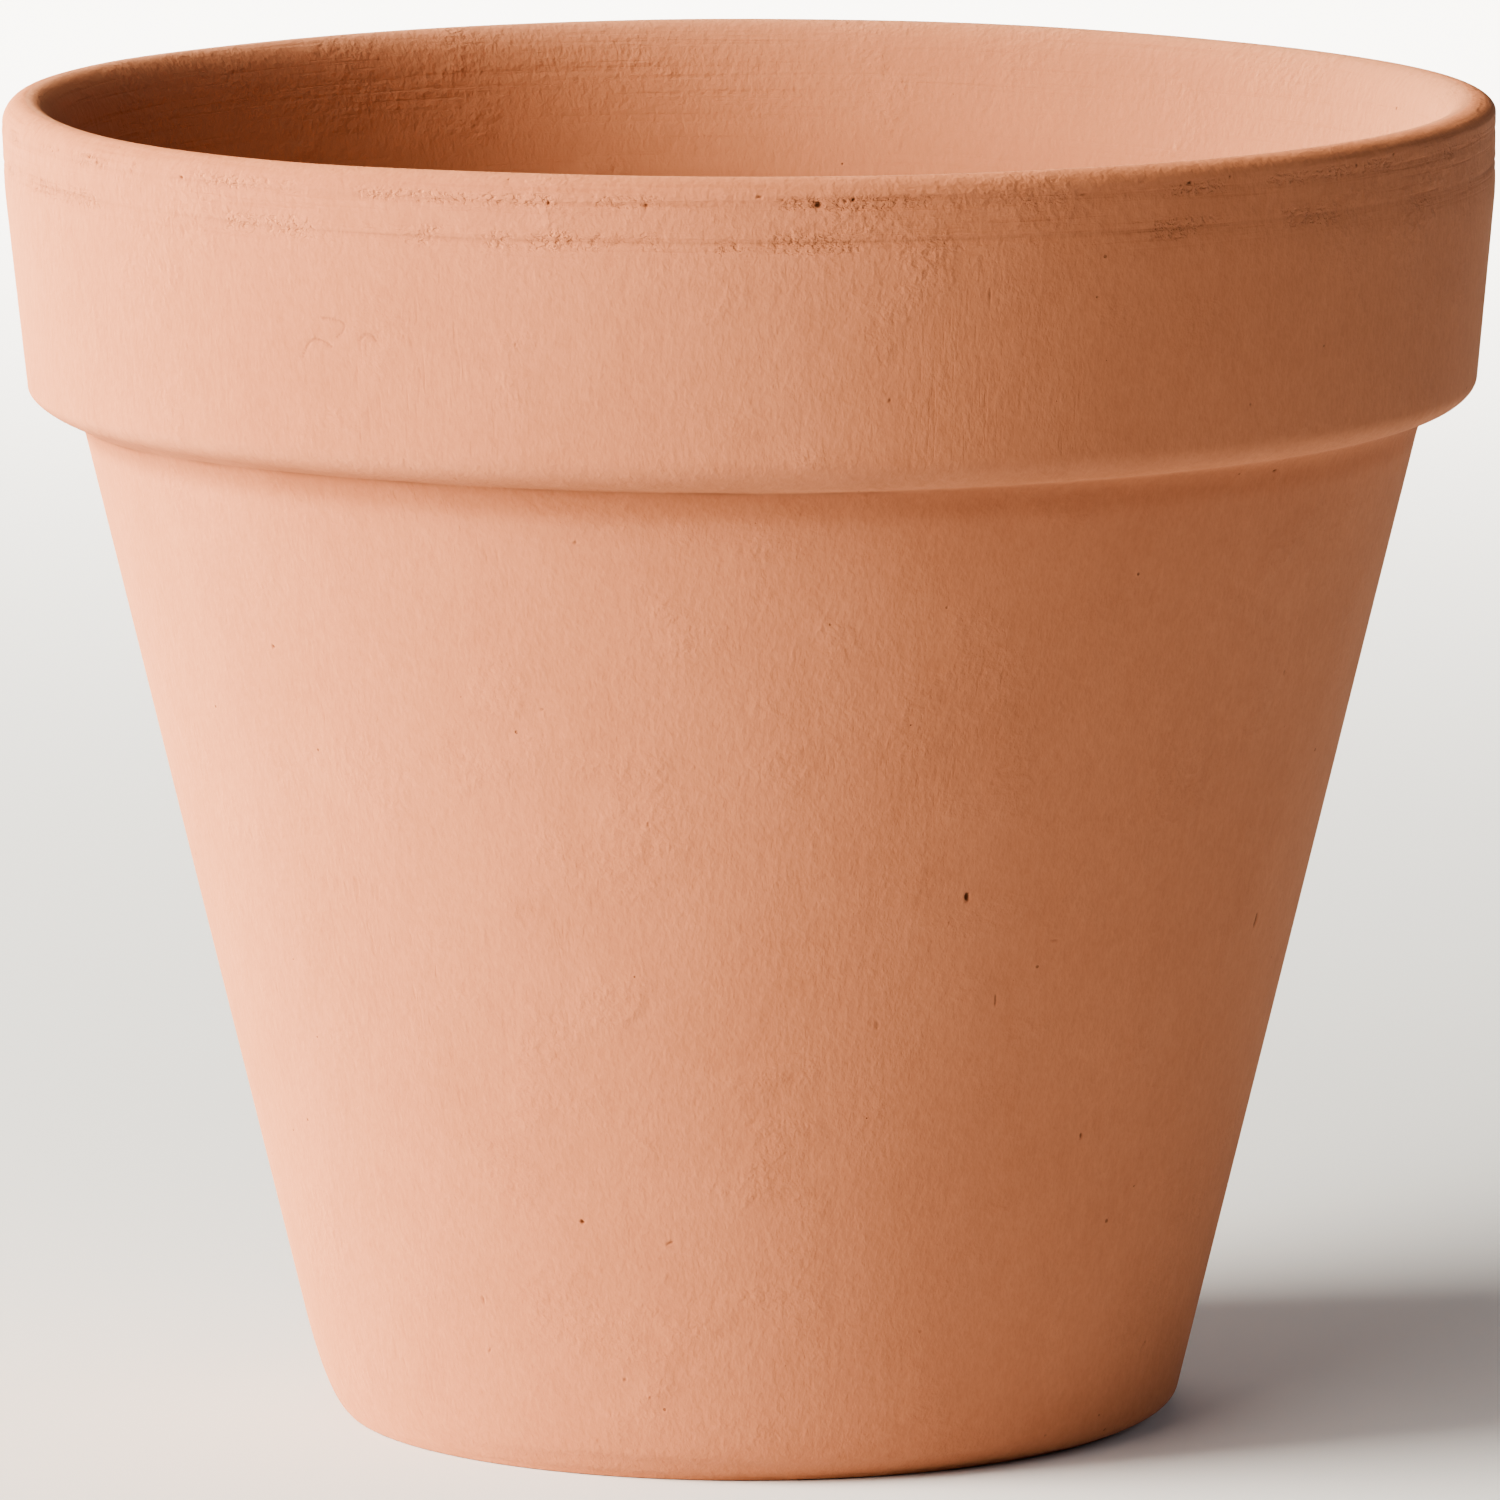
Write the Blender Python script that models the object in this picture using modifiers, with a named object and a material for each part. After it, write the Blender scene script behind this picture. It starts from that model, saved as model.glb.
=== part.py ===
"""A flower pot of unglazed fired clay, turned in one piece.

A plain tapered body carries a heavy outer collar at the rim. The inside is a straight cone down to
a flat floor with a drain hole, and the underside is a flat ring round a shallow recess.
Metres, +Z up. The origin is on the pot's axis, in the plane that it stands on.
"""

import math

import bpy
from mathutils import Matrix, Vector

# Outside. Each radius is taken where the two straight sides would meet, before the corner is rounded.
HEIGHT = 0.1510
RIM_RADIUS = 0.0853
COLLAR_HEIGHT = 0.0340
COLLAR_BOTTOM_RADIUS = 0.0822
COLLAR_UNDERCUT_HEIGHT = 0.0023
BODY_TOP_RADIUS = 0.0762
FOOT_RADIUS = 0.0484

# Inside
LIP_THICKNESS = 0.0060
FLOOR_THICKNESS = 0.0080
FLOOR_RADIUS = 0.0440
DRAIN_HOLE_RADIUS = 0.0110

# Underside
FOOT_RING_INNER_RADIUS = 0.0310
RECESS_DEPTH = 0.0012
RECESS_SLOPE_WIDTH = 0.0016

# Corner radii
LIP_OUTER_ROUND = 0.0034
LIP_INNER_ROUND = 0.0028
COLLAR_ROUND = 0.0041
COLLAR_ROOT_ROUND = 0.0025
FOOT_ROUND = 0.0048
DRAIN_HOLE_ROUND = 0.0012
FLOOR_ROUND = 0.0070
SHARP = 0.0

# Fineness
TURNS = 72
DEGREES_PER_ARC_STEP = 16.0
WELD_DISTANCE = 0.00001
SMOOTH_BELOW = math.radians(30.0)

CLAY_COLOUR = (0.64, 0.28, 0.165, 1.0)
CLAY_ROUGHNESS = 0.86


def pot_corners():
    """The closed outline as (radius, height, rounding): down the outside, across the base, up the inside."""
    collar_bottom = HEIGHT - COLLAR_HEIGHT
    body_top = collar_bottom - COLLAR_UNDERCUT_HEIGHT
    return [
        (RIM_RADIUS, HEIGHT, LIP_OUTER_ROUND),
        (COLLAR_BOTTOM_RADIUS, collar_bottom, COLLAR_ROUND),
        (BODY_TOP_RADIUS, body_top, COLLAR_ROOT_ROUND),
        (FOOT_RADIUS, 0.0, FOOT_ROUND),
        (FOOT_RING_INNER_RADIUS, 0.0, SHARP),
        (FOOT_RING_INNER_RADIUS - RECESS_SLOPE_WIDTH, RECESS_DEPTH, SHARP),
        (DRAIN_HOLE_RADIUS, RECESS_DEPTH, DRAIN_HOLE_ROUND),
        (DRAIN_HOLE_RADIUS, FLOOR_THICKNESS, DRAIN_HOLE_ROUND),
        (FLOOR_RADIUS, FLOOR_THICKNESS, FLOOR_ROUND),
        (RIM_RADIUS - LIP_THICKNESS, HEIGHT, LIP_INNER_ROUND),
    ]


def rounded_corner(before, corner, after, radius):
    """Points along the arc of this radius that replaces a corner, or the corner itself."""
    if radius == SHARP:
        return [corner]
    to_before = (before - corner).normalized()
    to_after = (after - corner).normalized()
    half_angle = to_before.angle(to_after) / 2
    centre = corner + (to_before + to_after).normalized() * (radius / math.sin(half_angle))
    tangent_length = radius / math.tan(half_angle)
    start = corner + to_before * tangent_length - centre
    turn = start.angle_signed(corner + to_after * tangent_length - centre)
    steps = max(2, round(abs(math.degrees(turn)) / DEGREES_PER_ARC_STEP))
    return [centre + Matrix.Rotation(-turn * step / steps, 2) @ start for step in range(steps + 1)]


def rounded_outline(corners):
    """The closed outline with every corner rounded."""
    places = [Vector((radius, height)) for radius, height, _ in corners]
    points = []
    for index, (_, _, rounding) in enumerate(corners):
        before = places[index - 1]
        after = places[(index + 1) % len(places)]
        points += rounded_corner(before, places[index], after, rounding)
    return points


def clay_material():
    """Dull unglazed terracotta."""
    material = bpy.data.materials.new("terracotta")
    material.use_nodes = True
    shader = material.node_tree.nodes["Principled BSDF"]
    shader.inputs["Base Color"].default_value = CLAY_COLOUR
    shader.inputs["Roughness"].default_value = CLAY_ROUGHNESS
    shader.inputs["Metallic"].default_value = 0.0
    material.diffuse_color = CLAY_COLOUR
    return material


def turned_object(name, outline, material, collection):
    """A solid of revolution about Z, from a closed outline in the XZ plane."""
    mesh = bpy.data.meshes.new(name)
    points = [(point.x, 0.0, point.y) for point in outline]
    edges = [(index, (index + 1) % len(points)) for index in range(len(points))]
    mesh.from_pydata(points, edges, [])
    mesh.materials.append(material)
    turned = bpy.data.objects.new(name, mesh)
    collection.objects.link(turned)
    screw = turned.modifiers.new("Turn", "SCREW")
    screw.axis = "Z"
    screw.angle = math.tau
    screw.steps = TURNS
    screw.render_steps = TURNS
    screw.use_merge_vertices = True
    screw.merge_threshold = WELD_DISTANCE
    screw.use_smooth_shade = True
    return turned


def apply_modifiers(target):
    """Replaces the object's mesh by the one that its modifiers make."""
    graph = bpy.context.evaluated_depsgraph_get()
    finished = bpy.data.meshes.new_from_object(target.evaluated_get(graph))
    finished.name = target.name
    target.modifiers.clear()
    target.data = finished


def main():
    for old in list(bpy.data.objects):
        bpy.data.objects.remove(old, do_unlink=True)
    collection = bpy.data.collections.new("terracotta_pot")
    bpy.context.scene.collection.children.link(collection)
    pot = turned_object("pot", rounded_outline(pot_corners()), clay_material(), collection)
    apply_modifiers(pot)
    pot.data.shade_smooth()
    pot.data.set_sharp_from_angle(angle=SMOOTH_BELOW)


main()
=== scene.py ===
"""The looks of a terracotta flower pot: its turned clay with the marks on it, a studio floor, lights, camera.

Metres, +Z up. The pot stands on its axis at the origin. An angle round the pot is in degrees, 0 at the front
(-Y) and growing towards the right (+X). A side is the sine of that angle: 1 at the right, -1 at the left, and
0 at the front and back. Noise scales are per metre, or per unit of the circle round the pot.
"""

import math
import random
from typing import NamedTuple

import bmesh
import bpy
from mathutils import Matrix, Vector, noise
from mathutils.kdtree import KDTree


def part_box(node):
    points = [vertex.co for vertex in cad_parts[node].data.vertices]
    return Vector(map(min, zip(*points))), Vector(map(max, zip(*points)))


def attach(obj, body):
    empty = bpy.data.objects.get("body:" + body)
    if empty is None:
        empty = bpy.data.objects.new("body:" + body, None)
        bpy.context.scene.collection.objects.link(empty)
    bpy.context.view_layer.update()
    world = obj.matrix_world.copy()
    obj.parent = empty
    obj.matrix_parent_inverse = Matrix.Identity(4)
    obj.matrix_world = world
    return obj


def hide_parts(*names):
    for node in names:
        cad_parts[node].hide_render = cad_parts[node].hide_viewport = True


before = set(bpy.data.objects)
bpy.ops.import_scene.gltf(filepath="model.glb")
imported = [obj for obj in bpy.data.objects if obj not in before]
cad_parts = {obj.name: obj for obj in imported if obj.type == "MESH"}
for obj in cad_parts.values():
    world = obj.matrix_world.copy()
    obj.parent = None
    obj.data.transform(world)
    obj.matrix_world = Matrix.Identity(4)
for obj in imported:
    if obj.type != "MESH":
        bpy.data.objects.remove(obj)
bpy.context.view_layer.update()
_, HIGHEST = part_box("pot")


class Uneven(NamedTuple):
    """A length that changes round the pot: at its front and back, at its right and at its left.
    The greater left_power is, the nearer to the left the change sets in."""
    front: float
    right: float
    left: float
    left_power: int = 1

    def at(self, side):
        to_right = (self.right - self.front) * max(0.0, side)
        to_left = (self.left - self.front) * max(0.0, -side) ** self.left_power
        return self.front + to_right + to_left


# Outline of the turned body. Each radius and height is where the straight sides would meet, and a lean says
# how much more it is at the right than at the front. The height and the rim come from the frame, and the rim
# keeps a little inside it, because it leans.
HEIGHT = HIGHEST.z
RIM_SHARE = 0.99765
RIM_RADIUS = RIM_SHARE * HIGHEST.x
RIM_LEAN = -0.00035
TOP_BAND_HEIGHT = 0.0104
TOP_BAND_RADIUS = 0.0845
TOP_BAND_LEAN = -0.00013
COLLAR_HEIGHT = 0.0340
COLLAR_BOTTOM = HEIGHT - COLLAR_HEIGHT
COLLAR_BOTTOM_RADIUS = 0.0822
COLLAR_BOTTOM_LEAN = (0.0001, -0.00015)
COLLAR_UNDERCUT_HEIGHT = 0.0022
BODY_TOP = COLLAR_BOTTOM - COLLAR_UNDERCUT_HEIGHT
BODY_TOP_RADIUS = 0.0762
BODY_TOP_LEAN = 0.0002
CREASE_RISE = Uneven(0.0008, 0.0011, -0.0008, 4)
FOOT_RADIUS = 0.0484
LIP_THICKNESS = 0.0057
FINE_DEPTH_INSIDE = 0.0180
FLOOR_THICKNESS = 0.0080
FLOOR_RADIUS = 0.0440
DRAIN_HOLE_RADIUS = 0.0110
FOOT_RING_INNER_RADIUS = 0.0310
RECESS_DEPTH = 0.0012
RECESS_SLOPE_WIDTH = 0.0016

# How far the curve of each corner reaches before the corner (in) and after it (out), going down the outside,
# across the base and up the inside
RIM_REACH_IN = Uneven(0.0024, 0.0028, 0.0028)
RIM_REACH_OUT = Uneven(0.0024, 0.0015, 0.0033)
TOP_BAND_REACH = 0.0010
COLLAR_REACH_IN = Uneven(0.0031, 0.0026, 0.0010, 3)
COLLAR_REACH_OUT = Uneven(0.0036, 0.0044, 0.0028)
BODY_REACH_IN = Uneven(0.0017, 0.0017, 0.0006, 4)
BODY_REACH_OUT = Uneven(0.0060, 0.0030, 0.0016, 4)
FOOT_REACH_IN = Uneven(0.0073, 0.0028, 0.0118)
FOOT_REACH_OUT = Uneven(0.0032, 0.0042, 0.0022)
RECESS_REACH = 0.0006
DRAIN_HOLE_REACH = 0.0012
FLOOR_REACH = 0.0050
LIP_REACH_IN = 0.0048
LIP_REACH_OUT = Uneven(0.0028, 0.0026, 0.0026)
SHARP = 0.0

# Mesh fineness: the steps round the pot, and the height of the rows on each stretch of the outline
TURNS = 256
FINE_ROW = 0.00030
COLLAR_ROW = 0.0010
BODY_ROW = 0.0018
BASE_ROW = 0.0035
INNER_ROW = 0.0034
# Edges near a mark are split until they are about this share of its narrowest width. A mark's reach is this
# many times the longer half of it, and a point's nearest marks are looked at within a little more than that.
MARK_EDGE_SHARE = 0.36
MARK_SHORTEST_EDGE = 0.00011
SHORTEST_TO_SPLIT = 1.6 * MARK_SHORTEST_EDGE
SPLIT_ABOVE = 1.5
MARK_REACH = 1.35
LOOK_WITHIN = 1.5
NEAREST_MARKS = 3
REFINING_PASSES = 5
# The last rows of the outline, from this share of them on, are the floor and the inner wall.
INSIDE_START_SHARE = 0.60

# The rim isn't quite level: (angle, half width of the dip in degrees, depth)
RIM_DIPS = [(-52.0, 40.0, 0.00042), (-135.0, 42.0, 0.00030), (133.0, 40.0, 0.00028)]
RIM_DIP_HEIGHT = 0.0120

# The wheel's rings: (height below the rim, depth, half width, how ragged it is from 0 to 1)
OUTER_RINGS = [
    (0.0031, 0.00011, 0.00040, 0.5),
    (0.0042, 0.00004, 0.00028, 0.8),
    (0.0055, 0.00004, 0.00080, 0.3),
    (0.0071, 0.00024, 0.00028, 0.9),
    (0.0078, 0.00010, 0.00024, 1.0),
]
INNER_RINGS = [
    (0.0034, 0.00006, 0.00035, 0.6),
    (0.0055, 0.00006, 0.00032, 0.8),
    (0.0112, 0.00004, 0.00060, 0.5),
]
RING_WANDER = 0.0003
# A ring or the crease is too shallow to matter this many half widths from its middle.
RING_ENDS = 5
CREASE_ENDS = 4
SOFT_RING_SPACING = 0.0052
SOFT_RING_DEPTH = 0.00005
SOFT_RING_SWAY = 3
CREASE_DEPTH = 0.00020
CREASE_HALF_WIDTH = 0.00022
CREASE_FADES_FROM = 0.1
CREASE_FADE_RATE = 3.0
FOOT_BEVEL_HEIGHT = 0.0026
FOOT_BEVEL_WANDER = 0.0004
FOOT_BEVEL_STEP = 0.0004
FOOT_BEVEL_DEPTH = 0.00026

# Unevenness of the whole surface
DENT_SIZE = 0.022
DENT_STRETCH = 0.6
DENT_DEPTH = 0.00010
# Nothing is pressed in below this height, so that the foot stays flat.
STANDING_HEIGHT = 0.0002

# Pits and nicks on the outside: (angle, height, width, length, lean in degrees, depth), in millimetres.
# Those on the lip's shoulder are where wet clay tore as the rim was trimmed.
SHOULDER_PITS = [
    (4.9, 148.2, 0.80, 0.70, 0, 0.40),
    (7.5, 148.7, 0.55, 0.45, 30, 0.25),
    (6.9, 148.5, 0.40, 0.30, 0, 0.12),
    (0.6, 149.1, 0.80, 0.35, 10, 0.16),
    (2.3, 148.7, 0.60, 0.35, 20, 0.12),
    (-7.7, 148.1, 0.50, 0.55, 0, 0.20),
    (-8.4, 148.5, 0.35, 0.30, 0, 0.08),
    (-15.0, 148.1, 0.40, 0.60, 0, 0.20),
    (-14.6, 148.5, 0.35, 0.30, 0, 0.10),
    (-16.3, 148.2, 0.45, 0.30, 0, 0.08),
    (-47.5, 148.1, 0.65, 0.55, 0, 0.24),
    (-53.6, 148.0, 0.70, 0.50, 0, 0.10),
    (-58.6, 148.2, 0.90, 0.60, 20, 0.12),
    (25.2, 148.4, 1.20, 0.35, 5, 0.12),
    (30.1, 149.4, 0.80, 0.30, 10, 0.08),
    (34.4, 148.9, 0.55, 0.55, 0, 0.20),
    (33.6, 148.7, 0.40, 0.35, 0, 0.12),
    (34.9, 148.6, 0.35, 0.35, 0, 0.10),
    (38.2, 149.2, 0.45, 0.40, 0, 0.14),
    (52.1, 148.8, 0.50, 0.45, 0, 0.14),
    (55.4, 149.0, 0.60, 0.30, 20, 0.10),
    (57.2, 149.3, 0.55, 0.35, 35, 0.14),
]
WALL_MARKS = [
    (21.5, 68.6, 0.60, 1.20, 4, 0.42),
    (64.4, 60.5, 0.50, 2.20, -8, 0.26),
    (-48.2, 94.6, 0.50, 0.50, 0, 0.20),
    (-19.1, 90.4, 0.40, 0.45, 0, 0.12),
    (-19.7, 30.7, 0.60, 0.60, 0, 0.26),
    (-9.4, 28.7, 0.35, 1.20, -55, 0.12),
    (-34.3, 20.3, 0.40, 1.20, 8, 0.14),
    (-34.4, 14.3, 0.35, 1.00, -40, 0.10),
    (39.6, 39.0, 0.40, 0.90, 10, 0.18),
    (-17.8, 132.4, 0.35, 0.60, -20, 0.10),
    (-14.3, 144.0, 0.60, 0.35, 0, 0.10),
    (10.4, 126.6, 0.40, 0.55, 0, 0.14),
    (17.9, 137.9, 0.30, 1.90, 3, 0.10),
    (25.9, 56.3, 0.30, 1.80, 5, 0.14),
    (13.1, 54.2, 0.35, 1.50, 8, 0.10),
    (-9.7, 77.6, 0.35, 0.80, 0, 0.08),
    (-15.9, 12.2, 0.45, 0.60, 0, 0.10),
    (-12.8, 10.2, 0.40, 0.50, 30, 0.08),
    (21.0, 17.7, 0.55, 0.45, 0, 0.10),
    (60.6, 11.8, 0.45, 0.60, 0, 0.10),
    (42.5, 3.2, 0.60, 0.40, 0, 0.10),
    (19.9, 65.7, 0.30, 0.60, 0, 0.10),
    (32.0, 62.7, 1.30, 0.35, 0, 0.07),
    (58.1, 90.2, 0.40, 0.80, 0, 0.10),
    (41.4, 123.6, 0.40, 0.50, 0, 0.12),
    (49.3, 114.6, 0.80, 0.35, 20, 0.14),
    (3.7, 115.3, 0.50, 0.45, 0, 0.16),
    (-14.9, 109.7, 0.45, 0.50, 0, 0.12),
]

# Shallow curled scratches, each as (angle, height) of its start, the place it bends towards and its end.
# Their width and depth are in millimetres.
SCRATCHES = [
    [(-35.9, 129.6), (-35.0, 132.8), (-33.2, 131.0)],
    [(-33.8, 134.1), (-30.8, 134.2), (-32.6, 132.1)],
    [(-30.6, 131.9), (-29.9, 133.4), (-29.2, 132.0)],
]
SCRATCH_WIDTH = 0.46
SCRATCH_STEPS = 18
SCRATCH_DEPTH = 0.08

# How torn a pit's edge is. Pits and grooves get painted shade, darker the deeper they are: a pit of the
# darkest depth is as dark as any, and a groove that deep gets this share of that painted shade.
TEAR = 0.35
TEAR_SCALE = 4000
DARKEST_DEPTH = 0.00030
GROOVE_SHADE = 0.45

# The random marks on the rest of the pot. Angles are in degrees, and lengths in millimetres.
MARK_SEED = 7
MORE_SHOULDER_PITS = 34
SHOULDER_ANGLES = (62, 305)
SHOULDER_HEIGHT = 148.5
SHOULDER_SPREAD = 0.35
SHOULDER_PIT_WIDTHS = (0.28, 0.60)
SHOULDER_PIT_STRETCH = (0.6, 1.1)
SHOULDER_PIT_LEANS = (-30, 30)
MORE_WALL_MARKS = 26
WALL_ANGLES = (75, 285)
WALL_HEIGHTS = (10, 140)
WALL_MARK_WIDTHS = (0.30, 0.50)
WALL_MARK_STRETCH = (0.9, 3.0)
WALL_MARK_LEAN_SPREAD = 15
DEPTH_OF_WIDTH = (0.3, 0.5)

# Clay
CLAY_PALE = (0.72, 0.352, 0.220, 1.0)
CLAY_DEEP = (0.55, 0.237, 0.134, 1.0)
CLAY_INSIDE = (0.60, 0.335, 0.225, 1.0)
SPECK_COLOUR = (0.22, 0.075, 0.035, 1.0)
# Painted shade: the colour that pits and grooves are darkened towards, the deeper the darker
PIT_SHADE_COLOUR = (0.13, 0.035, 0.012, 1.0)
INSIDE_SHARE = 0.5
SPECK_SHARE = 0.55
# How far the painted shade in pits and grooves goes towards that colour
PIT_SHADE_SHARE = 0.85
# The darkness of the "pit" layer, the painted shade in pits and grooves, from which the clay is as dark as it
# gets
DARKEST_PIT = 0.75
ROUGHNESS = 0.86
SPECULAR = 0.30
DIFFUSE_ROUGHNESS = 1.0

# The noises in the clay: (width of a feature round the pot, its length up the wall, detail, seed)
NOISES = {
    "patches": (0.045, 0.060, 2.0, 3.1),
    "mottle": (0.0060, 0.0100, 3.0, 7.7),
    "grain": (0.00045, 0.00070, 2.0, 1.3),
    "coarse_grain": (0.0010, 0.0018, 2.0, 5.9),
    "crinkle": (0.0011, 0.0010, 3.0, 9.4),
    "crinkle_patches": (0.014, 0.010, 2.0, 6.1),
    "drag": (0.0009, 0.0120, 2.0, 8.2),
    "drag_patches": (0.018, 0.030, 1.0, 4.4),
    "wheel": (0.0300, 0.00065, 3.0, 2.6),
    "tears": (0.0007, 0.00045, 3.0, 3.9),
    "tear_patches": (0.0085, 0.0085, 2.0, 7.3),
}
NOISE_ROUGHNESS = 0.55
SPECK_SPACING = 0.0052
SPECK_SIZE = 0.00032
SPECK_SEED = 6.3

# How much each noise sways the clay between pale and deep, how much each mark deepens it, and how dark the
# painted shade under the collar is
TONE_SWAYS = {"patches": 0.50, "mottle": 0.35, "coarse_grain": 0.40, "grain": 0.45}
DRAG_TONE = 0.12
WHEEL_TONE = 0.20
TEAR_TONE = 0.10
CREASE_PAINTED_SHADE = 0.38
ROUGHNESS_SWAYS = {"mottle": 0.10, "grain": 0.12}

# How high or deep each kind of mark is in the skin
GRAIN_RELIEF = 0.00006
COARSE_RELIEF = 0.00009
CRINKLE_RELIEF = 0.00018
DRAG_RELIEF = 0.00003
WHEEL_RELIEF = 0.00004
SPECK_RELIEF = 0.00010
TORN_RELIEF = 0.00015

# Bands below the rim: how far below it each fades in and is full
TRIMMED_BAND = (0.0094, 0.0080)
NEAR_RIM = (0.0200, 0.0060)
NEAR_RIM_CRINKLES = 0.7
INSIDE_WHEEL_SHARE = 0.5
# Half width of the band of painted shade under the collar, where the collar shades the body
CREASE_SHADE_HALF_WIDTH = 0.0036
# The clay tore along these lines as the rim was trimmed: (height below the rim, half width)
TORN_LINES = [(0.0027, 0.0011), (0.0070, 0.0017)]

# Camera: a long lens a little above the rim, looking down at the middle of the pot
CAMERA_DISTANCE = 1.6947
CAMERA_HEIGHT = 0.3365
CAMERA_PITCH = math.radians(8.748)
CAMERA_LENS = 360.5
CAMERA_SENSOR = 36.0
CAMERA_SHIFT = -0.0008
CAMERA_REACH = 50.0

# Floor: slightly cool, so that it looks white under the warm lights
FLOOR_SIZE = 12.0
FLOOR_COLOUR = (0.80, 0.87, 0.95, 1.0)
FLOOR_ROUGHNESS = 0.9

# Light. Each soft box is (name, angle, angle above the horizon, distance, size, watts, colour).
WARM_LIGHT = (1.0, 0.88, 0.74)
KEY_LIGHT = (1.0, 0.885, 0.72)
NEUTRAL_LIGHT = (1.0, 1.0, 1.0)
SOFT_BOXES = [
    ("key_light", -72.0, 24.0, 1.5, 0.9, 57.5, KEY_LIGHT),
    ("front_light", -35.0, 30.0, 1.5, 0.9, 7.5, WARM_LIGHT),
    ("far_side_light", 110.0, 20.0, 1.8, 1.2, 6.2, NEUTRAL_LIGHT),
]
# A lamp over the floor behind the pot whitens the background.
FLOOR_LIGHT_BEHIND = 1.6
FLOOR_LIGHT_HEIGHT = 1.4
FLOOR_LIGHT_SIZE = 1.2
FLOOR_LIGHT_WATTS = 28.0
WHOLE_SPREAD = 180.0
FLOOR_LIGHT_SPREAD = 90.0
WORLD_STRENGTH = 0.03


def corner_curve(before, corner, after, reach_in, reach_out, steps):
    """Points on the elliptical arc that replaces a corner, from reach_in before it to reach_out after it."""
    if not steps:
        return [corner]
    to_before = (before - corner).normalized()
    to_after = (after - corner).normalized()
    start = corner + to_before * reach_in
    end = corner + to_after * reach_out
    weight = math.sin(to_before.angle(to_after) / 2)
    points = []
    for step in range(steps + 1):
        t = step / steps
        share_start = (1 - t) ** 2
        share_corner = 2 * t * (1 - t) * weight
        share_end = t ** 2
        total = share_start + share_corner + share_end
        points.append((start * share_start + corner * share_corner + end * share_end) / total)
    return points


def outline_corners(side):
    """The closed outline at this side, corner by corner, as (radius, height, reach in, reach out, arc steps,
    height of the rows after it)."""
    inner_top = RIM_RADIUS - LIP_THICKNESS
    inner_slope = (inner_top - FLOOR_RADIUS) / (HEIGHT - FLOOR_THICKNESS)
    fine_end = HEIGHT - FINE_DEPTH_INSIDE
    fine_end_radius = FLOOR_RADIUS + inner_slope * (fine_end - FLOOR_THICKNESS)
    rim = (RIM_RADIUS + RIM_LEAN * side, HEIGHT)
    band_end = (TOP_BAND_RADIUS + TOP_BAND_LEAN * side, HEIGHT - TOP_BAND_HEIGHT)
    collar_lean, collar_droop = COLLAR_BOTTOM_LEAN
    collar_end = (COLLAR_BOTTOM_RADIUS + collar_lean * side, COLLAR_BOTTOM + collar_droop * side)
    body_start = (BODY_TOP_RADIUS + BODY_TOP_LEAN * side, crease_height(side))
    recess_edge = FOOT_RING_INNER_RADIUS - RECESS_SLOPE_WIDTH
    inner_rim = inner_top + RIM_LEAN * side
    return [
        (*rim, RIM_REACH_IN.at(side), RIM_REACH_OUT.at(side), 24, FINE_ROW),
        (*band_end, TOP_BAND_REACH, TOP_BAND_REACH, 6, COLLAR_ROW),
        (*collar_end, COLLAR_REACH_IN.at(side), COLLAR_REACH_OUT.at(side), 16, COLLAR_ROW),
        (*body_start, BODY_REACH_IN.at(side), BODY_REACH_OUT.at(side), 14, BODY_ROW),
        (FOOT_RADIUS, 0.0, FOOT_REACH_IN.at(side), FOOT_REACH_OUT.at(side), 18, BASE_ROW),
        (FOOT_RING_INNER_RADIUS, 0.0, RECESS_REACH, RECESS_REACH, 3, BASE_ROW),
        (recess_edge, RECESS_DEPTH, RECESS_REACH, RECESS_REACH, 3, BASE_ROW),
        (DRAIN_HOLE_RADIUS, RECESS_DEPTH, DRAIN_HOLE_REACH, DRAIN_HOLE_REACH, 5, BASE_ROW),
        (DRAIN_HOLE_RADIUS, FLOOR_THICKNESS, DRAIN_HOLE_REACH, DRAIN_HOLE_REACH, 5, BASE_ROW),
        (FLOOR_RADIUS, FLOOR_THICKNESS, FLOOR_REACH, FLOOR_REACH, 10, INNER_ROW),
        (fine_end_radius, fine_end, SHARP, SHARP, 0, FINE_ROW),
        (inner_rim, HEIGHT, LIP_REACH_IN, LIP_REACH_OUT.at(side), 16, FINE_ROW),
    ]


def crease_height(side):
    """Where the collar's underside meets the body. The left of the underside droops."""
    return BODY_TOP + CREASE_RISE.at(side)


def outline(side):
    """Every point of the closed outline, with the straight stretches cut into rows, as many on every side."""
    corners = outline_corners(side)
    places = [Vector((corner[0], corner[1])) for corner in corners]
    arcs = []
    for index, (_, _, reach_in, reach_out, steps, _) in enumerate(corners):
        after = places[(index + 1) % len(places)]
        arcs.append(corner_curve(places[index - 1], places[index], after, reach_in, reach_out, steps))
    points = []
    for index, arc in enumerate(arcs):
        points += arc
        start = arc[-1]
        end = arcs[(index + 1) % len(arcs)][0]
        row_height = corners[index][-1]
        rows = max(1, round(stretch_length(index) / row_height))
        points += [start.lerp(end, row / rows) for row in range(1, rows)]
    return points


def stretch_length(index):
    """The length from this corner's curve to the next one's, on the pot's middle outline."""
    corners = outline_corners(0.0)
    radius, height, _, reach_out, _, _ = corners[index]
    next_radius, next_height, reach_in, _, _, _ = corners[(index + 1) % len(corners)]
    return math.dist((radius, height), (next_radius, next_height)) - reach_out - reach_in


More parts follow.
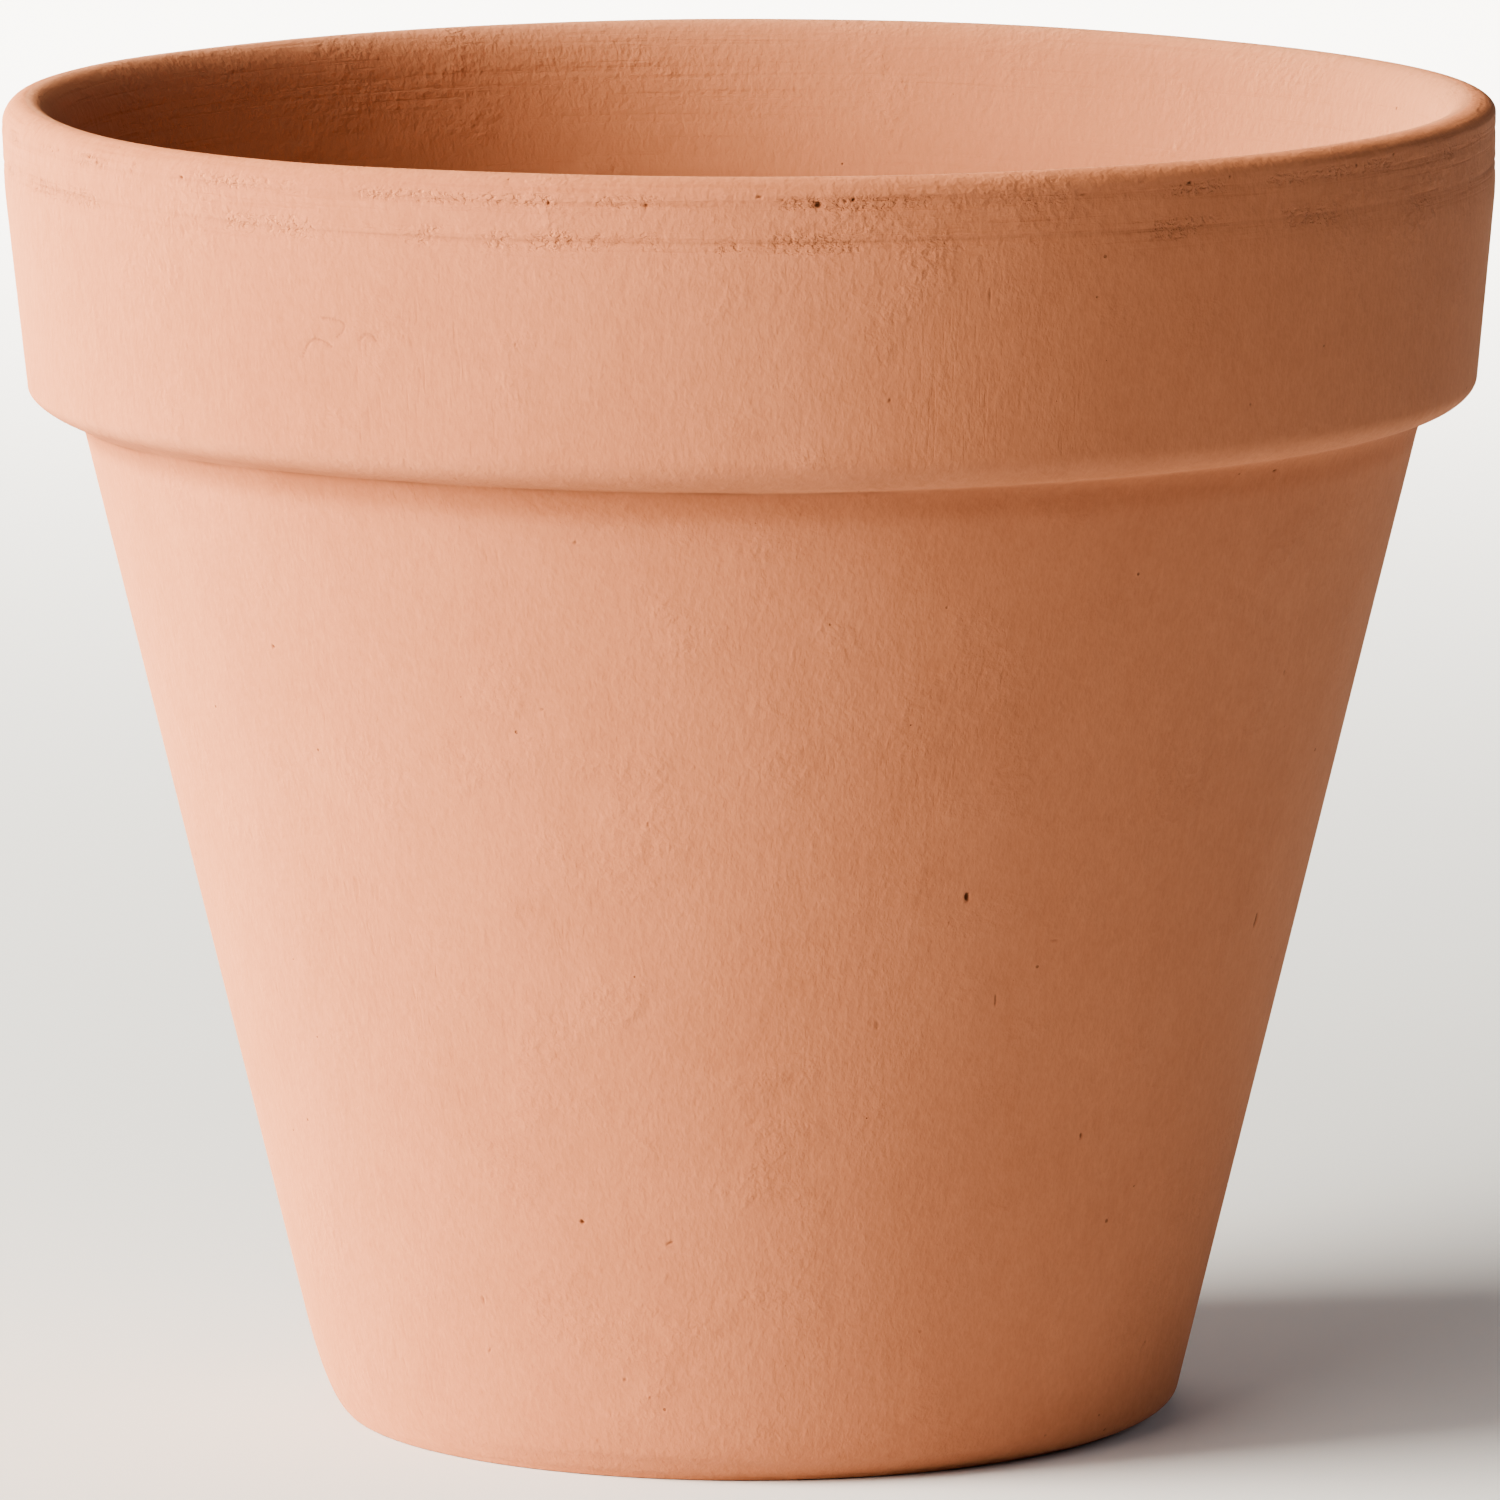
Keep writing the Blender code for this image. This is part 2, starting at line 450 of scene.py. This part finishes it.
def turned_body():
    """The outline turned about Z, as a bmesh whose "inside" layer is 1 on the inner wall and floor."""
    rows = len(outline(0.0))
    body = bmesh.new()
    inside = body.verts.layers.float.new("inside")
    rings = []
    for turn in range(TURNS):
        angle = math.tau * turn / TURNS
        ring = []
        for row, point in enumerate(outline(math.sin(angle))):
            height = point.y - rim_dip(angle, point.y)
            vertex = body.verts.new((point.x * math.sin(angle), -point.x * math.cos(angle), height))
            vertex[inside] = float(row >= INSIDE_START_SHARE * rows)
            ring.append(vertex)
        rings.append(ring)
    for turn, ring in enumerate(rings):
        following = rings[(turn + 1) % TURNS]
        for row in range(rows):
            below = (row + 1) % rows
            body.faces.new((ring[row], ring[below], following[below], following[row]))
    return body


def rim_dip(angle, height):
    """How far this point is lowered because the rim isn't level. It fades out down the wall."""
    fade = max(0.0, 1 - (HEIGHT - height) / RIM_DIP_HEIGHT)
    dip = 0.0
    for middle, half_width, depth in RIM_DIPS:
        away = abs((math.degrees(angle) - middle + 180) % 360 - 180)
        if away < half_width:
            dip += depth * math.cos(math.pi / 2 * away / half_width) ** 2
    return dip * fade * fade * (3 - 2 * fade)


def more_marks():
    """Pits and nicks for the rest of the pot, like those that are listed one by one."""
    draw = random.Random(MARK_SEED)
    marks = []
    for _ in range(MORE_SHOULDER_PITS):
        width = draw.uniform(*SHOULDER_PIT_WIDTHS)
        length = width * draw.uniform(*SHOULDER_PIT_STRETCH)
        angle = draw.uniform(*SHOULDER_ANGLES)
        height = draw.gauss(SHOULDER_HEIGHT, SHOULDER_SPREAD)
        lean = draw.uniform(*SHOULDER_PIT_LEANS)
        marks.append((angle, height, width, length, lean, width * draw.uniform(*DEPTH_OF_WIDTH)))
    for _ in range(MORE_WALL_MARKS):
        width = draw.uniform(*WALL_MARK_WIDTHS)
        length = width * draw.uniform(*WALL_MARK_STRETCH)
        angle = draw.uniform(*WALL_ANGLES)
        height = draw.uniform(*WALL_HEIGHTS)
        lean = draw.gauss(0, WALL_MARK_LEAN_SPREAD)
        marks.append((angle, height, width, length, lean, width * draw.uniform(*DEPTH_OF_WIDTH)))
    return marks


def scratch_marks(start, bend, end):
    """A row of shallow round marks, close enough to join, along a curled scratch."""
    marks = []
    for step in range(SCRATCH_STEPS + 1):
        t = step / SCRATCH_STEPS
        shares = ((1 - t) ** 2, 2 * t * (1 - t), t ** 2)
        angle = sum(share * place[0] for share, place in zip(shares, (start, bend, end)))
        height = sum(share * place[1] for share, place in zip(shares, (start, bend, end)))
        marks.append((angle, height, SCRATCH_WIDTH, SCRATCH_WIDTH, 0.0, SCRATCH_DEPTH))
    return marks


def outer_radius(height):
    """The radius of the straight outer walls at a height, on the pot's middle outline."""
    if height > COLLAR_BOTTOM:
        share = (height - COLLAR_BOTTOM) / COLLAR_HEIGHT
        return COLLAR_BOTTOM_RADIUS + (RIM_RADIUS - COLLAR_BOTTOM_RADIUS) * share
    return FOOT_RADIUS + (BODY_TOP_RADIUS - FOOT_RADIUS) * height / BODY_TOP


class Mark:
    """A pit or nick: an oval bowl with a torn edge, measured across the surface."""

    def __init__(self, angle, height, width, length, lean, depth):
        self.angle = math.radians(angle)
        self.height = height / 1000
        self.half_width = width / 2000
        self.half_length = length / 2000
        self.lean = math.radians(lean)
        self.depth = depth / 1000
        radius = outer_radius(self.height)
        self.place = Vector((radius * math.sin(self.angle), -radius * math.cos(self.angle), self.height))
        self.reach = max(self.half_width, self.half_length) * MARK_REACH
        narrowest = min(self.half_width, self.half_length) * 2
        self.edge = max(MARK_SHORTEST_EDGE, narrowest * MARK_EDGE_SHARE)

    def share(self, place):
        """How deep the bowl is here, from 0 at its edge to 1 at its middle."""
        offset = place - self.place
        along = offset.x * math.cos(self.angle) + offset.y * math.sin(self.angle)
        across = along * math.cos(self.lean) + offset.z * math.sin(self.lean)
        up = offset.z * math.cos(self.lean) - along * math.sin(self.lean)
        tear = 1 + TEAR * noise.noise(place * TEAR_SCALE)
        distance = math.hypot(across / self.half_width, up / self.half_length) * tear
        return max(0.0, 1 - distance * distance)


def refine_near(body, marks):
    """Splits the edges round each mark until they are short enough to shape it, and returns a tree of the
    marks' places."""
    inside = body.verts.layers.float["inside"]
    tree = KDTree(len(marks))
    for index, mark in enumerate(marks):
        tree.insert(mark.place, index)
    tree.balance()
    for _ in range(REFINING_PASSES):
        long_edges = []
        for edge in body.edges:
            length = edge.calc_length()
            if length < SHORTEST_TO_SPLIT or edge.verts[0][inside] > 0:
                continue
            middle = (edge.verts[0].co + edge.verts[1].co) / 2
            _, index, distance = tree.find(middle)
            mark = marks[index]
            if distance < mark.reach + length / 2 and length > mark.edge * SPLIT_ABOVE:
                long_edges.append(edge)
        bmesh.ops.subdivide_edges(body, edges=long_edges, cuts=1, use_grid_fill=True)
    return tree


def ring_depth(rings, place, angle):
    """How deep the wheel's rings are here. A ragged ring wanders more and comes and goes."""
    below_rim = HEIGHT - place.z
    depth = 0.0
    for index, (ring_below, full_depth, half_width, ragged) in enumerate(rings):
        if abs(below_rim - ring_below) > RING_ENDS * half_width + RING_WANDER:
            continue
        on_circle = Vector((math.cos(angle), math.sin(angle), index * 3.7))
        wander = RING_WANDER * noise.noise(on_circle * 1.5)
        wander += RING_WANDER * 0.3 * ragged * noise.noise(on_circle * 18)
        fade = 1 - ragged * (0.5 + 0.5 * noise.noise(on_circle * 4 + Vector((9, 0, 0))))
        fade *= 1 - 0.6 * ragged * abs(noise.noise(on_circle * 60))
        offset = (below_rim - ring_below - wander) / half_width
        depth += full_depth * fade * math.exp(-offset * offset)
    return depth


def crease_depth(place, angle):
    """The thin groove where the collar's underside meets the body. At the front it runs out to the right."""
    side = math.sin(angle)
    offset = (place.z - crease_height(side)) / CREASE_HALF_WIDTH
    if abs(offset) > CREASE_ENDS:
        return 0.0
    strength = 0.75 + 0.5 * noise.noise(Vector((math.cos(angle), math.sin(angle), 0.0)) * 9)
    if math.cos(angle) > 0:
        strength *= min(1.0, max(0.0, 1.0 - CREASE_FADE_RATE * (side - CREASE_FADES_FROM)))
    return CREASE_DEPTH * strength * math.exp(-offset * offset)


def foot_bevel_depth(place, angle):
    """The narrow band where the foot's edge was trimmed, at the front and back."""
    if place.z > FOOT_BEVEL_HEIGHT:
        return 0.0
    edge = FOOT_BEVEL_HEIGHT + FOOT_BEVEL_WANDER * noise.noise(place * 40)
    share = min(1.0, max(0.0, (edge - place.z) / FOOT_BEVEL_STEP))
    return FOOT_BEVEL_DEPTH * share * math.cos(angle) ** 2


def soft_ring_depth(place):
    """The faint waves that the former left all the way down the inner wall."""
    sway = SOFT_RING_SWAY * noise.noise(Vector((0, 0, place.z * 90)))
    wave = math.sin(math.tau * place.z / SOFT_RING_SPACING + sway)
    fade = 0.5 + 0.5 * noise.noise(place * 25)
    return SOFT_RING_DEPTH * fade * (0.5 + 0.5 * wave)


def dent_depth(place):
    """The slight unevenness of hand-finished clay, never above the true surface."""
    stretched = Vector((place.x, place.y, place.z * DENT_STRETCH)) / DENT_SIZE
    return DENT_DEPTH * (0.5 + 0.5 * noise.noise(stretched))


def press_surface(body, marks, tree):
    """Pushes every point in by the rings, the waves, the unevenness and the pits, and makes the layer "pit",
    painted shade that says how much darker the clay is painted in pits and grooves."""
    body.normal_update()
    inside = body.verts.layers.float["inside"]
    pit = body.verts.layers.float.new("pit")
    moves = []
    for vertex in body.verts:
        place = vertex.co
        angle = math.atan2(place.x, -place.y)
        depth = dent_depth(place)
        if vertex[inside] > 0.5:
            depth += ring_depth(INNER_RINGS, place, angle) + soft_ring_depth(place)
        else:
            groove = ring_depth(OUTER_RINGS, place, angle) + crease_depth(place, angle)
            # Painted shade: a groove is painted darker the deeper it is
            vertex[pit] = GROOVE_SHADE * min(1.0, groove / DARKEST_DEPTH)
            depth += groove + foot_bevel_depth(place, angle)
            mark_depth = 0.0
            for _, index, distance in tree.find_n(place, NEAREST_MARKS):
                mark = marks[index]
                if distance < mark.reach * LOOK_WITHIN:
                    share = mark.share(place)
                    # Painted shade: a pit is painted darker the deeper it is
                    darkness = share * min(1.0, mark.depth / DARKEST_DEPTH)
                    vertex[pit] = max(vertex[pit], darkness)
                    mark_depth = max(mark_depth, mark.depth * share)
            depth += mark_depth
        if place.z > STANDING_HEIGHT:
            moves.append((vertex, vertex.normal * depth))
    for vertex, move in moves:
        vertex.co -= move


def add_node(tree, kind, inputs=None, **settings):
    """Adds a shader node. Each input is a value, or the socket that feeds it."""
    node = tree.nodes.new("ShaderNode" + kind)
    for name, value in settings.items():
        setattr(node, name, value)
    for name, value in (inputs or {}).items():
        if isinstance(value, bpy.types.NodeSocket):
            tree.links.new(value, node.inputs[name])
        else:
            node.inputs[name].default_value = value
    return node


def calculate(tree, operation, first, second=0.0):
    return add_node(tree, "Math", {0: first, 1: second}, operation=operation).outputs[0]


def soft_step(tree, value, low, high):
    """0 where value is at low, 1 where it is at high, and smooth between."""
    inputs = {"Value": value, "From Min": low, "From Max": high}
    return add_node(tree, "MapRange", inputs, interpolation_type="SMOOTHSTEP").outputs["Result"]


def mix_colours(tree, share, first, second):
    """The first colour with this share of the second. The node's sockets 0, 6 and 7 take them."""
    node = add_node(tree, "Mix", data_type="RGBA")
    for index, value in ((0, share), (6, first), (7, second)):
        if isinstance(value, bpy.types.NodeSocket):
            tree.links.new(value, node.inputs[index])
        else:
            node.inputs[index].default_value = value
    return node.outputs[2]


def soft_band(tree, height, middle, half_width):
    """1 at this height, fading to 0 at half a width from it."""
    away = calculate(tree, "ABSOLUTE", calculate(tree, "SUBTRACT", height, middle))
    return soft_step(tree, away, half_width, half_width * 0.3)


def clay_noise(tree, place, width, length, detail, seed):
    """Noise from 0 to 1 whose features are this wide round the pot and this long up its wall."""
    scale = (1 / width, 1 / width, 1 / length)
    stretched = add_node(tree, "Mapping", {"Vector": place, "Location": (seed, seed, seed), "Scale": scale})
    inputs = {"Vector": stretched.outputs[0], "Scale": 1.0, "Detail": detail, "Roughness": NOISE_ROUGHNESS}
    return add_node(tree, "TexNoise", inputs).outputs[0]


def specks(tree, place, spacing, size, seed):
    """1 in small round spots of many sizes that lie about a spacing apart, 0 elsewhere."""
    inputs = {"Vector": place, "Location": (seed, seed, seed), "Scale": (1 / spacing,) * 3}
    spaced = add_node(tree, "Mapping", inputs).outputs[0]
    cells = add_node(tree, "TexVoronoi", {"Vector": spaced, "Scale": 1.0})
    edge = calculate(tree, "MULTIPLY", cells.outputs["Color"], size / spacing)
    core = calculate(tree, "MULTIPLY", edge, 0.5)
    return soft_step(tree, cells.outputs["Distance"], edge, core)


def sway(tree, noises, weights):
    """0.5, swayed by each noise as much as its weight says."""
    total = 0.5
    for name, weight in weights.items():
        centred = calculate(tree, "SUBTRACT", noises[name], 0.5)
        weighted = calculate(tree, "MULTIPLY", centred, weight)
        total = calculate(tree, "ADD", weighted, total)
    return total


def marks_on_skin(tree, noises, height, inside):
    """Where the skin is dragged, turned, crinkled and torn: four values, each 0 where it isn't. A mark starts
    and is full at the noise's first and second number."""
    band_end, band_start = TRIMMED_BAND
    trimmed = soft_step(tree, height, HEIGHT - band_end, HEIGHT - band_start)
    turned = calculate(tree, "MAXIMUM", trimmed, calculate(tree, "MULTIPLY", inside, INSIDE_WHEEL_SHARE))
    not_turned = calculate(tree, "SUBTRACT", 1.0, turned)
    drag_share = calculate(tree, "MULTIPLY", soft_step(tree, noises["drag_patches"], 0.50, 0.75), not_turned)
    drag = calculate(tree, "MULTIPLY", soft_step(tree, noises["drag"], 0.56, 0.72), drag_share)
    wheel = calculate(tree, "MULTIPLY", soft_step(tree, noises["wheel"], 0.50, 0.72), turned)

    far_below, just_below = NEAR_RIM
    near_rim = soft_step(tree, height, HEIGHT - far_below, HEIGHT - just_below)
    near_rim = calculate(tree, "MULTIPLY", near_rim, NEAR_RIM_CRINKLES)
    crinkle_share = calculate(tree, "ADD", soft_step(tree, noises["crinkle_patches"], 0.50, 0.66), near_rim)
    crinkles = calculate(tree, "MULTIPLY", noises["crinkle"], crinkle_share)

    near_lines = 0.0
    for below_rim, half_width in TORN_LINES:
        band = soft_band(tree, height, HEIGHT - below_rim, half_width)
        near_lines = calculate(tree, "MAXIMUM", band, near_lines)
    outside = calculate(tree, "SUBTRACT", 1.0, inside)
    tear_share = calculate(tree, "MULTIPLY", near_lines, soft_step(tree, noises["tear_patches"], 0.44, 0.62))
    tear_share = calculate(tree, "MULTIPLY", tear_share, outside)
    tears = calculate(tree, "MULTIPLY", soft_step(tree, noises["tears"], 0.44, 0.68), tear_share)
    return drag, wheel, crinkles, tears


def clay_material():
    """Fired clay: pale and deep tones in patches and grain, dark specks, painted shade in pits, in grooves
    and under the collar, and a dry rough skin.
    """
    material = bpy.data.materials.new("terracotta_clay")
    material.use_nodes = True
    tree = material.node_tree
    shader = tree.nodes["Principled BSDF"]
    place = add_node(tree, "TexCoord").outputs["Object"]
    height = add_node(tree, "SeparateXYZ", {"Vector": place}).outputs["Z"]
    inside = add_node(tree, "Attribute", attribute_name="inside").outputs["Fac"]
    pit = add_node(tree, "Attribute", attribute_name="pit").outputs["Fac"]
    noises = {name: clay_noise(tree, place, *sizes) for name, sizes in NOISES.items()}
    drag, wheel, crinkles, tears = marks_on_skin(tree, noises, height, inside)
    # Painted shade: the clay is darker in a band round the crease under the collar, where the collar shades
    # the body
    painted_crease_shade = soft_band(tree, height, BODY_TOP, CREASE_SHADE_HALF_WIDTH)
    spots = specks(tree, place, SPECK_SPACING, SPECK_SIZE, SPECK_SEED)
    # Painted shade in pits and grooves, from the "pit" layer
    pit_shade = soft_step(tree, pit, 0.0, DARKEST_PIT)

    tone = sway(tree, noises, TONE_SWAYS)
    # The last of these is painted shade under the collar, not a mark in the clay
    deeper = [(drag, DRAG_TONE), (wheel, WHEEL_TONE), (tears, TEAR_TONE), (painted_crease_shade, CREASE_PAINTED_SHADE)]
    for mark, depth in deeper:
        tone = calculate(tree, "SUBTRACT", tone, calculate(tree, "MULTIPLY", mark, depth))
    clay = mix_colours(tree, tone, CLAY_DEEP, CLAY_PALE)
    layers = [
        (inside, INSIDE_SHARE, CLAY_INSIDE),
        (spots, SPECK_SHARE, SPECK_COLOUR),
        # The last layer is the painted shade in pits and grooves
        (pit_shade, PIT_SHADE_SHARE, PIT_SHADE_COLOUR),
    ]
    for mask, share, colour in layers:
        clay = mix_colours(tree, calculate(tree, "MULTIPLY", mask, share), clay, colour)
    tree.links.new(clay, shader.inputs["Base Color"])

    rough = sway(tree, noises, ROUGHNESS_SWAYS)
    tree.links.new(calculate(tree, "ADD", rough, ROUGHNESS - 0.5), shader.inputs["Roughness"])
    shader.inputs["Specular IOR Level"].default_value = SPECULAR
    shader.inputs["Diffuse Roughness"].default_value = DIFFUSE_ROUGHNESS
    reliefs = [
        (noises["grain"], GRAIN_RELIEF),
        (noises["coarse_grain"], COARSE_RELIEF),
        (crinkles, CRINKLE_RELIEF),
        (drag, -DRAG_RELIEF),
        (wheel, -WHEEL_RELIEF),
        (spots, -SPECK_RELIEF),
        (tears, -TORN_RELIEF),
    ]
    tree.links.new(relief_normal(tree, reliefs), shader.inputs["Normal"])
    return material


def relief_normal(tree, reliefs):
    """The normal of a skin with these reliefs: (value, how high it stands, or below 0 how deep it goes)."""
    normal = None
    for value, relief in reliefs:
        inputs = {"Height": value, "Distance": abs(relief), "Strength": 1.0}
        if normal:
            inputs["Normal"] = normal
        normal = add_node(tree, "Bump", inputs, invert=relief < 0).outputs["Normal"]
    return normal


def build_pot():
    scratches = [mark for points in SCRATCHES for mark in scratch_marks(*points)]
    marks = [Mark(*mark) for mark in SHOULDER_PITS + WALL_MARKS + scratches + more_marks()]
    body = turned_body()
    tree = refine_near(body, marks)
    press_surface(body, marks, tree)
    mesh = bpy.data.meshes.new("terracotta_pot")
    body.to_mesh(mesh)
    body.free()
    mesh.shade_smooth()
    mesh.materials.append(clay_material())
    pot = bpy.data.objects.new("terracotta_pot", mesh)
    bpy.context.scene.collection.objects.link(pot)
    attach(pot, "root")
    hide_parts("pot")


def build_camera():
    camera = bpy.data.objects.new("camera", bpy.data.cameras.new("camera"))
    camera.location = (0.0, -CAMERA_DISTANCE, CAMERA_HEIGHT)
    camera.rotation_euler = (math.pi / 2 - CAMERA_PITCH, 0.0, 0.0)
    camera.data.lens = CAMERA_LENS
    camera.data.sensor_width = CAMERA_SENSOR
    camera.data.shift_x = CAMERA_SHIFT
    camera.data.clip_end = CAMERA_REACH
    bpy.context.scene.collection.objects.link(camera)
    bpy.context.scene.camera = camera


def build_floor():
    bpy.ops.mesh.primitive_plane_add(size=FLOOR_SIZE, location=(0.0, 0.0, 0.0))
    floor = bpy.context.object
    floor.name = "studio_floor"
    material = bpy.data.materials.new("studio_floor")
    material.use_nodes = True
    shader = material.node_tree.nodes["Principled BSDF"]
    shader.inputs["Base Color"].default_value = FLOOR_COLOUR
    shader.inputs["Roughness"].default_value = FLOOR_ROUGHNESS
    floor.data.materials.append(material)


def area_light(name, place, target, size, watts, colour, spread):
    """A square soft box that faces the target and doesn't show in the picture."""
    light = bpy.data.lights.new(name, "AREA")
    light.shape = "SQUARE"
    light.size = size
    light.energy = watts
    light.color = colour
    light.spread = math.radians(spread)
    box = bpy.data.objects.new(name, light)
    box.location = place
    box.rotation_euler = (place - target).to_track_quat("Z", "Y").to_euler()
    box.visible_camera = False
    bpy.context.scene.collection.objects.link(box)


def round_the_pot(angle, height_angle, distance):
    """The place at that distance from the pot's middle, turned from the front and raised by the angles."""
    around = math.radians(angle)
    up = math.radians(height_angle)
    direction = Vector((math.cos(up) * math.sin(around), -math.cos(up) * math.cos(around), math.sin(up)))
    return Vector((0.0, 0.0, HEIGHT / 2)) + direction * distance


def build_lights():
    middle = Vector((0.0, 0.0, HEIGHT / 2))
    for name, angle, height_angle, distance, size, watts, colour in SOFT_BOXES:
        place = round_the_pot(angle, height_angle, distance)
        area_light(name, place, middle, size, watts, colour, WHOLE_SPREAD)
    behind = Vector((0.0, FLOOR_LIGHT_BEHIND, 0.0))
    above = behind + Vector((0.0, 0.0, FLOOR_LIGHT_HEIGHT))
    size = FLOOR_LIGHT_SIZE
    area_light("floor_light", above, behind, size, FLOOR_LIGHT_WATTS, WARM_LIGHT, FLOOR_LIGHT_SPREAD)
    world = bpy.data.worlds.new("studio")
    bpy.context.scene.world = world
    world.use_nodes = True
    background = world.node_tree.nodes["Background"]
    background.inputs["Color"].default_value = (1.0, 1.0, 1.0, 1.0)
    background.inputs["Strength"].default_value = WORLD_STRENGTH


build_pot()
build_camera()
build_floor()
build_lights()
bpy.context.scene.view_settings.look = "AgX - High Contrast"
